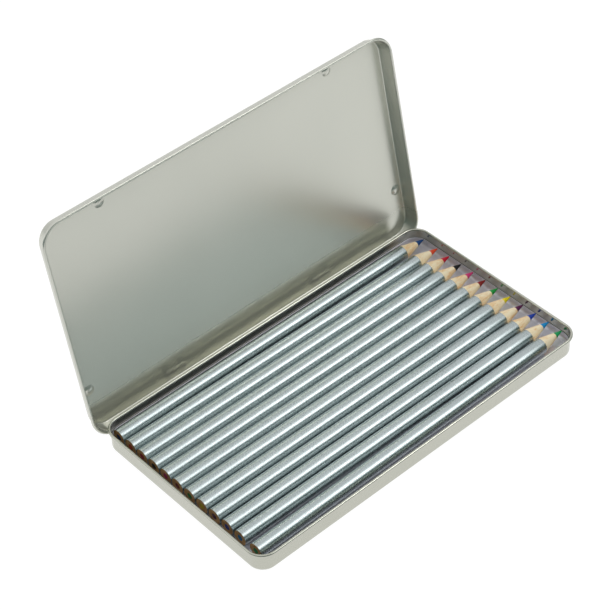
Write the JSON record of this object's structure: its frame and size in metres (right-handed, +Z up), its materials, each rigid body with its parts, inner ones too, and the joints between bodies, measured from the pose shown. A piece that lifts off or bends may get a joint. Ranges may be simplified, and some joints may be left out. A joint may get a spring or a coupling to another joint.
{
  "type": "hinged pencil tin with coloured pencils",
  "caption": "Shallow rounded oblong tin with a hinged lid, holding a flat row of round sharpened coloured pencils on a raised floor.",
  "frame": {"origin": "centre of the tray's flat underside", "axes": "+X along the pencils towards their points, +Y towards the hinges, +Z up"},
  "size_m": [0.187, 0.1253, 0.1054],
  "materials": {
    "tinplate": "satin clear-lacquered tinplate",
    "floor_tinplate": "satin clear-lacquered tinplate",
    "pin_steel": "drawn wire",
    "lacquered_wood": "silver-grey gloss lacquer, bare wood at the point and the blunt end",
    "core_navy": "pigmented wax, matte",
    "core_vermilion": "pigmented wax, matte",
    "core_crimson": "pigmented wax, matte",
    "core_black": "pigmented wax, matte",
    "core_magenta": "pigmented wax, matte",
    "core_brown_red": "pigmented wax, matte",
    "core_green": "pigmented wax, matte",
    "core_yellow": "pigmented wax, matte",
    "core_plum": "pigmented wax, matte",
    "core_ultramarine": "pigmented wax, matte",
    "core_cerulean": "pigmented wax, matte",
    "core_emerald": "pigmented wax, matte"
  },
  "bodies": {
    "tray": {"tray": "tinplate", "raised_floor": "floor_tinplate", "hinge_pin_left": "pin_steel", "hinge_pin_right": "pin_steel"},
    "lid": {"lid": "tinplate"},
    "pencil_01": {"pencil_01_wood_a": "lacquered_wood", "pencil_01_wood_b": "lacquered_wood", "pencil_01_core": "core_navy"},
    "pencil_02": {"pencil_02_wood_a": "lacquered_wood", "pencil_02_wood_b": "lacquered_wood", "pencil_02_core": "core_vermilion"},
    "pencil_03": {"pencil_03_wood_a": "lacquered_wood", "pencil_03_wood_b": "lacquered_wood", "pencil_03_core": "core_crimson"},
    "pencil_04": {"pencil_04_wood_a": "lacquered_wood", "pencil_04_wood_b": "lacquered_wood", "pencil_04_core": "core_black"},
    "pencil_05": {"pencil_05_wood_a": "lacquered_wood", "pencil_05_wood_b": "lacquered_wood", "pencil_05_core": "core_magenta"},
    "pencil_06": {"pencil_06_wood_a": "lacquered_wood", "pencil_06_wood_b": "lacquered_wood", "pencil_06_core": "core_brown_red"},
    "pencil_07": {"pencil_07_wood_a": "lacquered_wood", "pencil_07_wood_b": "lacquered_wood", "pencil_07_core": "core_green"},
    "pencil_08": {"pencil_08_wood_a": "lacquered_wood", "pencil_08_wood_b": "lacquered_wood", "pencil_08_core": "core_yellow"},
    "pencil_09": {"pencil_09_wood_a": "lacquered_wood", "pencil_09_wood_b": "lacquered_wood", "pencil_09_core": "core_plum"},
    "pencil_10": {"pencil_10_wood_a": "lacquered_wood", "pencil_10_wood_b": "lacquered_wood", "pencil_10_core": "core_ultramarine"},
    "pencil_11": {"pencil_11_wood_a": "lacquered_wood", "pencil_11_wood_b": "lacquered_wood", "pencil_11_core": "core_cerulean"},
    "pencil_12": {"pencil_12_wood_a": "lacquered_wood", "pencil_12_wood_b": "lacquered_wood", "pencil_12_core": "core_emerald"}
  },
  "joints": [
    {"name": "lid_hinge", "type": "hinge", "parent": "tray", "child": "lid", "pos_m": [0, 0.04999, 0.00508], "axis": [1, 0, 0], "range_deg": [0, 101.45]},
    {"name": "lift_01", "type": "slide", "parent": "tray", "child": "pencil_01", "axis": [0, 0, -1], "range_m": [-0.04, 0]},
    {"name": "lift_02", "type": "slide", "parent": "tray", "child": "pencil_02", "axis": [0, 0, -1], "range_m": [-0.04, 0]},
    {"name": "lift_03", "type": "slide", "parent": "tray", "child": "pencil_03", "axis": [0, 0, -1], "range_m": [-0.04, 0]},
    {"name": "lift_04", "type": "slide", "parent": "tray", "child": "pencil_04", "axis": [0, 0, -1], "range_m": [-0.04, 0]},
    {"name": "lift_05", "type": "slide", "parent": "tray", "child": "pencil_05", "axis": [0, 0, -1], "range_m": [-0.04, 0]},
    {"name": "lift_06", "type": "slide", "parent": "tray", "child": "pencil_06", "axis": [0, 0, -1], "range_m": [-0.04, 0]},
    {"name": "lift_07", "type": "slide", "parent": "tray", "child": "pencil_07", "axis": [0, 0, -1], "range_m": [-0.04, 0]},
    {"name": "lift_08", "type": "slide", "parent": "tray", "child": "pencil_08", "axis": [0, 0, -1], "range_m": [-0.04, 0]},
    {"name": "lift_09", "type": "slide", "parent": "tray", "child": "pencil_09", "axis": [0, 0, -1], "range_m": [-0.04, 0]},
    {"name": "lift_10", "type": "slide", "parent": "tray", "child": "pencil_10", "axis": [0, 0, -1], "range_m": [-0.04, 0]},
    {"name": "lift_11", "type": "slide", "parent": "tray", "child": "pencil_11", "axis": [0, 0, -1], "range_m": [-0.04, 0]},
    {"name": "lift_12", "type": "slide", "parent": "tray", "child": "pencil_12", "axis": [0, 0, -1], "range_m": [-0.04, 0]}
  ]
}
